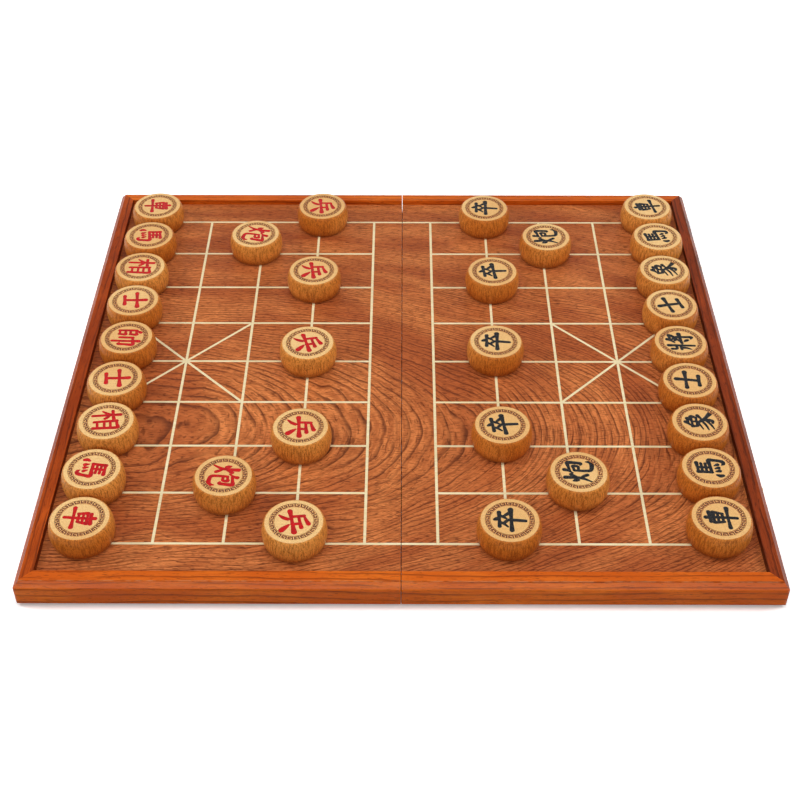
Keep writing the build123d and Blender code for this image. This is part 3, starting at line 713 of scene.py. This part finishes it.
def piece_finish(name):
    """Turned wood: upright fibre that shows as streaks on the side and as specks on the end grain."""
    material, tree, shader, place = new_material(name, 0.4, Specular_IOR_Level=0.15)
    streaks = cloudy(tree, stretched(tree, place, 1.0, 1.0, 0.10), 900.0, 3.0)
    flecks = cloudy(tree, stretched(tree, place, 1.0, 1.0, 0.45), 1500.0, 1.5)
    figure = {"Rings": 330.0, "Sway": 14.0, "Sway_Scale": 7.0, "Flutter": 0.8, "Fibre_Scale": 1500.0}
    growth = placed(tree, timber, place, **figure)
    batch = ramp(tree, cloudy(tree, place, 11.0, 1.0), 0.38, 0.62)
    use = placed(tree, handling, place, Scale=1.6)
    facing = put(tree, "NewGeometry", {}).outputs["Normal"]
    upward = ramp(tree, put(tree, "SeparateXYZ", {0: facing}).outputs[2], 0.90, 0.97)
    top = tint(tree, batch, light_end_grain, deep_end_grain)
    top = stained(tree, top, ramp(tree, flecks, 0.42, 0.66), 0.42, end_grain_fleck)
    top = stained(tree, top, growth["Ring"], 0.22, end_grain_ring)
    low = tint(tree, batch, light_side, deep_side)
    low = stained(tree, low, ramp(tree, streaks, 0.42, 0.66), 0.55, side_streak)
    low = stained(tree, low, ramp(tree, flecks, 0.52, 0.66), 0.5, side_fleck)
    height = put(tree, "SeparateXYZ", {0: place}).outputs[2]
    # painted shade: the side darkens towards the board, where the bulge turns under
    low_shade = ramp(tree, height, playing_level + shaded_height, playing_level)
    low = stained(tree, low, low_shade, 0.6, side_shade)
    colour = tint(tree, upward, low, top)
    tree.links.new(colour, shader.inputs["Base Color"])
    tree.links.new(maths(tree, "MULTIPLY_ADD", use["Smudge"], 0.14, 0.34), shader.inputs["Roughness"])
    relief(tree, shader, maths(tree, "ADD", streaks, flecks), 0.22, 0.05 * mm)
    return material


def sign_paint(name, colour, shade):
    """Thick gloss paint that pooled in the carving, thin and duller here and there."""
    material, tree, shader, place = new_material(name, 0.3, Specular_IOR_Level=0.2)
    pooled = cloudy(tree, place, 420.0, 3.0, 0.3)
    tree.links.new(tint(tree, ramp(tree, pooled, 0.35, 0.7), colour, shade), shader.inputs["Base Color"])
    tree.links.new(ramp(tree, pooled, 0.3, 0.8, 0.2, 0.42), shader.inputs["Roughness"])
    relief(tree, shader, pooled, 0.25, 0.12 * mm)
    return material


piece_wood = piece_finish("turned_honey_wood")
red_paint = sign_paint("red_sign_paint", srgb(206, 10, 14), srgb(168, 4, 10))
black_paint = sign_paint("black_sign_paint", srgb(14, 14, 16), srgb(26, 24, 24))
brown_scorch = srgb(96, 48, 28)
black_scorch = srgb(64, 30, 18)
faint_scorch = srgb(130, 74, 44)
burnt, tree, shader, place = new_material("burnt_ground", 0.75)
scorch = cloudy(tree, place, 900.0, 3.0)
patch = ramp(tree, cloudy(tree, place, 120.0, 2.0), 0.35, 0.65)
colour = tint(tree, ramp(tree, scorch, 0.3, 0.7), brown_scorch, black_scorch)
colour = stained(tree, colour, patch, 0.5, faint_scorch)
tree.links.new(colour, shader.inputs["Base Color"])
tree.links.new(ramp(tree, scorch, 0.3, 0.7, 0.62, 0.85), shader.inputs["Roughness"])
relief(tree, shader, scorch, 0.4, 0.08 * mm)

sign_slant = 5.0  # degrees; nobody sets a piece down quite straight
crease_angle = np.radians(40)
set_down = np.random.default_rng(9)


def stand_piece(node, points, faces, finishes, facing, ink):
    """Stands a carved piece on its node's place, its sign's upper side turned to facing and a little off."""
    low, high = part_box(node)
    turned_by = facing + np.radians(set_down.normal(0, sign_slant))
    across, up = points[:, 0], points[:, 1]
    placed_x = across * np.cos(turned_by) - up * np.sin(turned_by)
    placed_y = across * np.sin(turned_by) + up * np.cos(turned_by)
    placed_points = np.stack([placed_x, placed_y, points[:, 2]], 1) * mm
    placed_points += ((low.x + high.x) / 2, (low.y + high.y) / 2, low.z)
    mesh = bpy.data.meshes.new(f"{node}_carved")
    mesh.from_pydata(placed_points, [], faces)
    mesh.polygons.foreach_set("material_index", finishes.astype(np.int32))
    for finish in (piece_wood, ink, burnt):
        mesh.materials.append(finish)
    mesh.shade_smooth()
    mesh.set_sharp_from_angle(angle=crease_angle)
    piece = bpy.data.objects.new(f"{node}_carved", mesh)
    bpy.context.scene.collection.objects.link(piece)
    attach(piece, node)
    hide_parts(node)


# the signs' upper sides look over the river, along +X for red and -X for black
ranks = ("chariot", "horse", "elephant", "advisor", "general", "cannon", "soldier")
for team, ink, facing in (("red", red_paint, -np.pi / 2), ("black", black_paint, np.pi / 2)):
    for rank in ranks:
        sign = rank if rank in signs else f"{rank}_{team}"
        points, faces, finishes = turned_piece(sign)
        for node in sorted(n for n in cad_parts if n.startswith(f"{team}_{rank}")):
            stand_piece(node, points, faces, finishes, facing, ink)

# ---------------------------------------------------------------- table and light
# A plain pale table top under the board, lit by soft lamps at both sides, overhead and in front.
# The table shows white to the camera and keeps the board's shadow; the board sees it as mid grey.
table_reach = 4.0
table_seen, sky_seen = 1.6, 1.0  # how bright each looks to the camera
table_on_board, sky_on_board = 0.4, 0.25  # how bright each is for the board
glow_from, glow_full = 0.6, 1.5  # metres from the board's middle


def seen_by_camera(tree):
    """1 for what the camera sees, also in gloss or through glass; 0 for light that falls on the board."""
    rays = put(tree, "LightPath", {}).outputs
    second_hand = maths(tree, "MAXIMUM", rays["Is Glossy Ray"], rays["Is Transmission Ray"])
    return maths(tree, "MAXIMUM", rays["Is Camera Ray"], second_hand)


table_mesh = bpy.data.meshes.new("table_top")
corners = [(x * table_reach, y * table_reach, 0) for x, y in ((-1, -1), (1, -1), (1, 1), (-1, 1))]
table_mesh.from_pydata(corners, [], [(0, 1, 2, 3)])
table = bpy.data.objects.new("table_top", table_mesh)
bpy.context.scene.collection.objects.link(table)
pale_top, tree, shader, place = new_material("pale_table", 0.9, Specular_IOR_Level=0.0)
shown = seen_by_camera(tree)
tone = tint(tree, shown, (table_on_board,) * 3 + (1,), (table_seen,) * 3 + (1,))
tree.links.new(tone, shader.inputs["Base Color"])
# beyond the lamps' reach the table glows, so that it stays white
distance = put(tree, "VectorMath", {0: place}, operation="LENGTH").outputs["Value"]
afar = ramp(tree, distance, glow_from, glow_full)
shader.inputs["Emission Color"].default_value = (1, 1, 1, 1)
tree.links.new(maths(tree, "MULTIPLY", shown, afar), shader.inputs["Emission Strength"])
table_mesh.materials.append(pale_top)

world = bpy.data.worlds.new("studio")
bpy.context.scene.world = world
world.use_nodes = True
tree = world.node_tree
backdrop = tree.nodes["Background"]
backdrop.inputs["Color"].default_value = (1, 1, 1, 1)
sky = ramp(tree, seen_by_camera(tree), 0.0, 1.0, sky_on_board, sky_seen)
tree.links.new(sky, backdrop.inputs["Strength"])


def lamp(name, place, target, width, depth, power):
    """A rectangular soft lamp that faces a point."""
    light = bpy.data.lights.new(name, "AREA")
    light.shape = "RECTANGLE"
    light.size, light.size_y, light.energy = width, depth, power
    holder = bpy.data.objects.new(name, light)
    bpy.context.scene.collection.objects.link(holder)
    aim = (Vector(target) - Vector(place)).to_track_quat("-Z", "Y").to_matrix().to_4x4()
    holder.matrix_world = Matrix.Translation(place) @ aim


lamp("left_softbox", (-1.25, 0.1, 0.9), (0, 0, 0), 0.6, 0.5, 7.0)
lamp("right_softbox", (1.25, 0.1, 0.9), (0, 0, 0), 0.6, 0.5, 6.5)
lamp("overhead_softbox", (0, 0, 1.5), (0, 0, 0), 0.8, 0.5, 6.5)
lamp("front_softbox", (0, -1.46, 0.92), (0, -0.26, 0), 1.7, 0.2, 7.0)

# ---------------------------------------------------------------- camera
# Stands in front of the board and looks down on it at about 41 degrees, a touch off level.
lens_length = 60.853
film_width = 36.0
camera_stand = (0.0010, -0.9128, 0.7859)
forward = Vector((-0.0021, 0.7466, -0.6652)).normalized()
right = Vector((1.0, 0.0030, 0.0002))
camera_data = bpy.data.cameras.new("camera")
camera_data.lens = lens_length
camera_data.sensor_width = film_width
camera = bpy.data.objects.new("camera", camera_data)
bpy.context.scene.collection.objects.link(camera)
right = (right - forward * right.dot(forward)).normalized()
up = right.cross(forward)
turned = Matrix((right, up, -forward)).transposed().to_4x4()
camera.matrix_world = Matrix.Translation(camera_stand) @ turned
bpy.context.scene.camera = camera
bpy.context.scene.view_settings.view_transform = "Standard"
